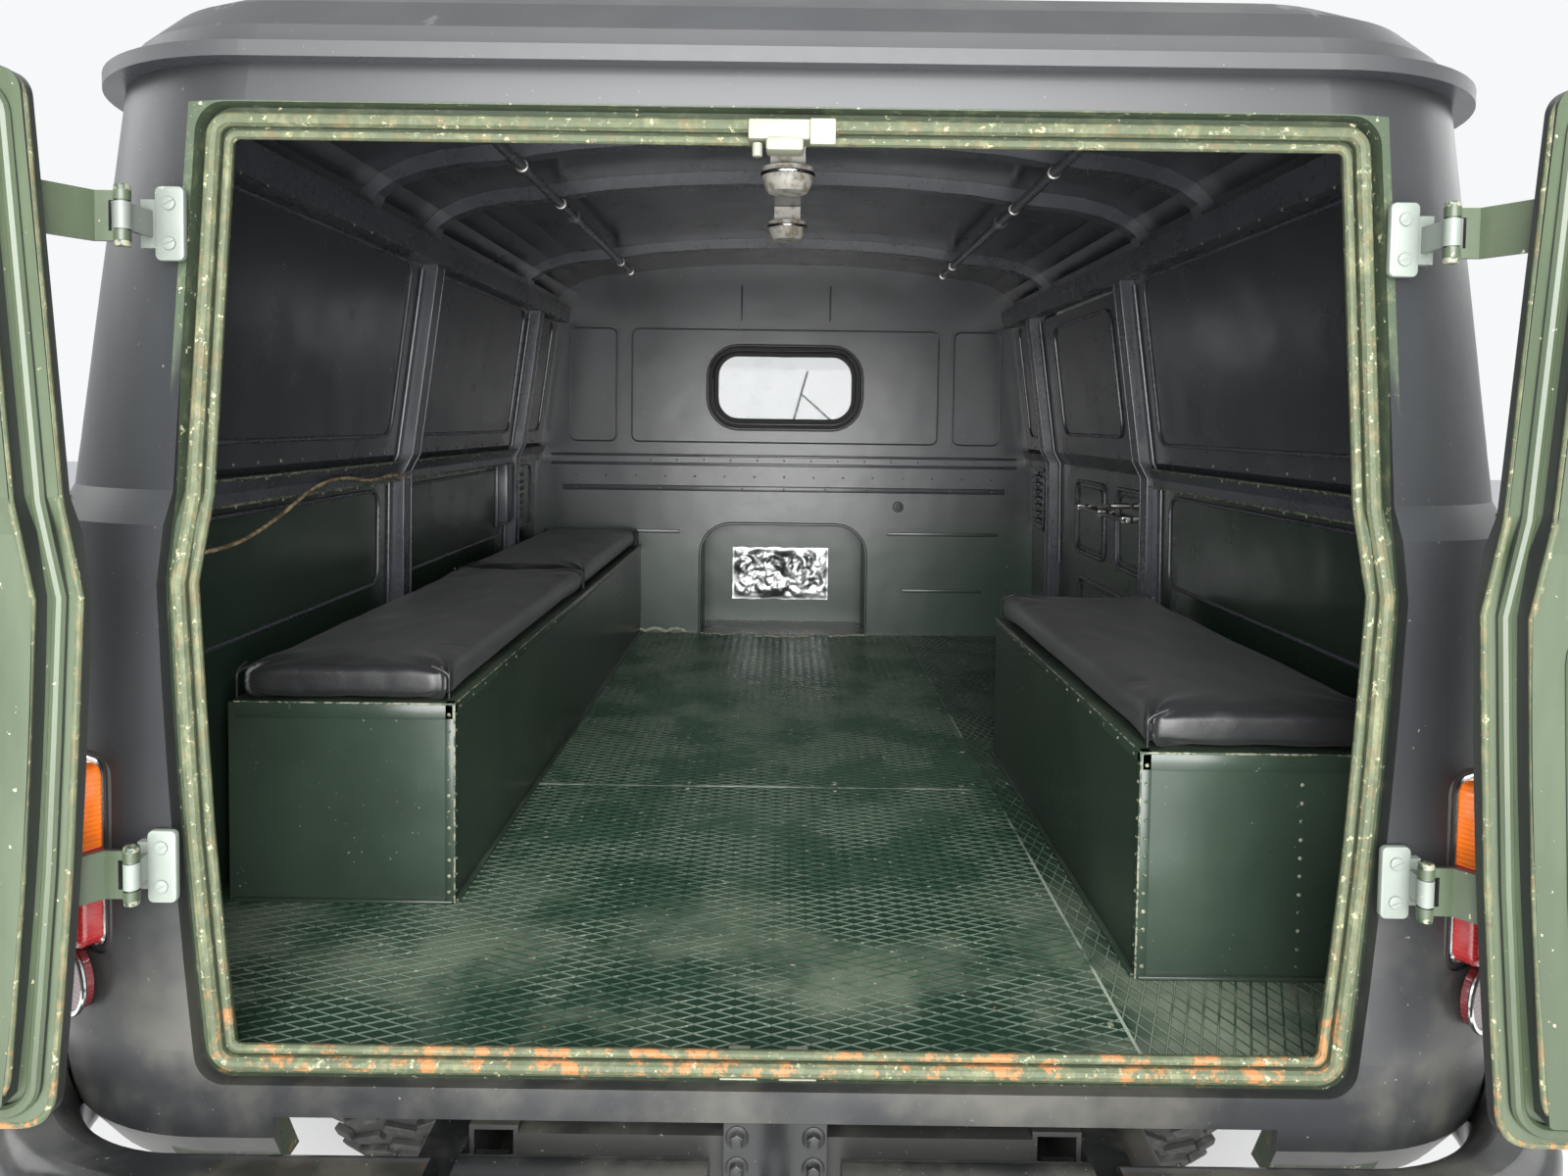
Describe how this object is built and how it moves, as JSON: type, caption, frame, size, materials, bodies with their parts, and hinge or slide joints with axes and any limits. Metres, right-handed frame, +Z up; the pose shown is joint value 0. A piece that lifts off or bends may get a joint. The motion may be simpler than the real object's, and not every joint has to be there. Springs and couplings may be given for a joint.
{
  "type": "military ambulance van",
  "caption": "Forward-control four-wheel-drive military ambulance van with a hollow load space, benches, open rear doors, a side door, cab doors, turning wheels and steering.",
  "frame": {"origin": "on the ground below the centre of the whole van, its rear doors open as stored", "axes": "+X to the right of the van, +Y forward, +Z up"},
  "size_m": [2.9568, 4.5393, 2.123],
  "materials": {
    "body_paint": "satin dark grey black body paint",
    "inner_paint": "gloss black green inner paint",
    "green_paint": "dark green bench and floor paint",
    "door_green": "olive green inner door paint",
    "hinge_paint": "grey green hinge paint",
    "chassis_black": "black chassis paint",
    "bumper_black": "gloss black",
    "cast": "rough",
    "steel": "worn",
    "glass": "clear",
    "lamp_glass": "lamp lens",
    "lamp_plastic": "amber and red lens plastic",
    "vinyl": "black leatherette",
    "tyre": "rubber",
    "plastic": "black plastic"
  },
  "bodies": {
    "van_body": {"chassis_frame": "chassis_black", "floor_pan": "green_paint", "body_left": "body_paint", "body_right": "body_paint", "rear_frame": "body_paint", "nose_panel": "body_paint", "roof": "body_paint", "inner_frame": "inner_paint", "roof_bows": "inner_paint", "bulkhead": "inner_paint", "fixed_glass": "glass", "dashboard": "inner_paint", "engine_cover": "inner_paint", "engine_block": "cast", "grille": "body_paint", "front_lamps": "lamp_glass", "front_bumper": "bumper_black", "rear_bumper": "bumper_black", "tow_hook": "chassis_black", "rear_lamps": "lamp_plastic", "bench_boxes": "green_paint", "cushion_left_rear": "vinyl", "cushion_left_front": "vinyl", "cushion_right": "vinyl", "seats": "vinyl", "roof_rods": "inner_paint", "dome_lamps": "steel", "axles": "chassis_black", "leaf_springs": "steel", "driveline": "cast", "exhaust": "steel", "fuel_tank": "chassis_black", "mirrors": "plastic", "wipers": "plastic", "hinge_leaves": "hinge_paint"},
    "cab_door_left": {"cab_door_left": "body_paint", "cab_glass_left": "glass"},
    "cab_door_right": {"cab_door_right": "body_paint", "cab_glass_right": "glass"},
    "side_door": {"side_door": "body_paint"},
    "rear_door_left": {"rear_door_left": "door_green", "rear_glass_left": "glass"},
    "rear_door_right": {"rear_door_right": "door_green", "rear_glass_right": "glass"},
    "knuckle_left": {"knuckle_left": "chassis_black"},
    "knuckle_right": {"knuckle_right": "chassis_black"},
    "tie_rod": {"tie_rod": "steel"},
    "steering_wheel": {"steering_wheel": "plastic"},
    "wheel_rear_left": {"tyre_rear_left": "tyre", "rim_rear_left": "body_paint"},
    "wheel_rear_right": {"tyre_rear_right": "tyre", "rim_rear_right": "body_paint"},
    "wheel_front_left": {"tyre_front_left": "tyre", "rim_front_left": "body_paint"},
    "wheel_front_right": {"tyre_front_right": "tyre", "rim_front_right": "body_paint"}
  },
  "joints": [
    {"name": "steer_left", "type": "hinge", "parent": "van_body", "child": "knuckle_left", "pos_m": [-0.648, 1.214, 0.388], "axis": [0, 0, 1], "range_deg": [-28, 28]},
    {"name": "steer_right", "type": "hinge", "parent": "van_body", "child": "knuckle_right", "pos_m": [0.648, 1.214, 0.388], "axis": [0, 0, 1], "range_deg": [-28, 28]},
    {"name": "tie_rod_turn", "type": "hinge", "parent": "knuckle_left", "child": "tie_rod", "pos_m": [-0.648, 1.104, 0.293], "axis": [0, 0, 1], "range_deg": [-28, 28]},
    {"name": "steering_wheel_turn", "type": "hinge", "parent": "van_body", "child": "steering_wheel", "pos_m": [-0.6, 1.534, 1.33], "axis": [0, -0.4848, 0.8746], "range_deg": [-450, 450]},
    {"name": "cab_door_left_swing", "type": "hinge", "parent": "van_body", "child": "cab_door_left", "pos_m": [-0.987, 1.853, 1.13], "axis": [-0.015, 0, -0.9999], "range_deg": [0, 65]},
    {"name": "cab_door_right_swing", "type": "hinge", "parent": "van_body", "child": "cab_door_right", "pos_m": [0.987, 1.853, 1.13], "axis": [-0.015, 0, 0.9999], "range_deg": [0, 65]},
    {"name": "side_door_swing", "type": "hinge", "parent": "van_body", "child": "side_door", "pos_m": [0.987, 0.268, 1.13], "axis": [-0.015, 0, 0.9999], "range_deg": [0, 88]},
    {"name": "rear_door_left_swing", "type": "hinge", "parent": "van_body", "child": "rear_door_left", "pos_m": [-0.742, -2.139, 1.3], "axis": [0, 0, 1], "range_deg": [0, 178]},
    {"name": "rear_door_right_swing", "type": "hinge", "parent": "van_body", "child": "rear_door_right", "pos_m": [0.742, -2.139, 1.3], "axis": [0, 0, -1], "range_deg": [0, 178]},
    {"name": "wheel_rear_left_spin", "type": "hinge", "parent": "van_body", "child": "wheel_rear_left", "pos_m": [-0.721, -1.086, 0.388], "axis": [1, 0, 0], "continuous": true},
    {"name": "wheel_rear_right_spin", "type": "hinge", "parent": "van_body", "child": "wheel_rear_right", "pos_m": [0.721, -1.086, 0.388], "axis": [1, 0, 0], "continuous": true},
    {"name": "wheel_front_left_spin", "type": "hinge", "parent": "knuckle_left", "child": "wheel_front_left", "pos_m": [-0.721, 1.214, 0.388], "axis": [1, 0, 0], "continuous": true},
    {"name": "wheel_front_right_spin", "type": "hinge", "parent": "knuckle_right", "child": "wheel_front_right", "pos_m": [0.721, 1.214, 0.388], "axis": [1, 0, 0], "continuous": true}
  ],
  "couplings": [
    {"joint": "steer_right", "follows": "steer_left", "ratio": 1},
    {"joint": "tie_rod_turn", "follows": "steer_left", "ratio": -1},
    {"joint": "steering_wheel_turn", "follows": "steer_left", "ratio": 16}
  ]
}
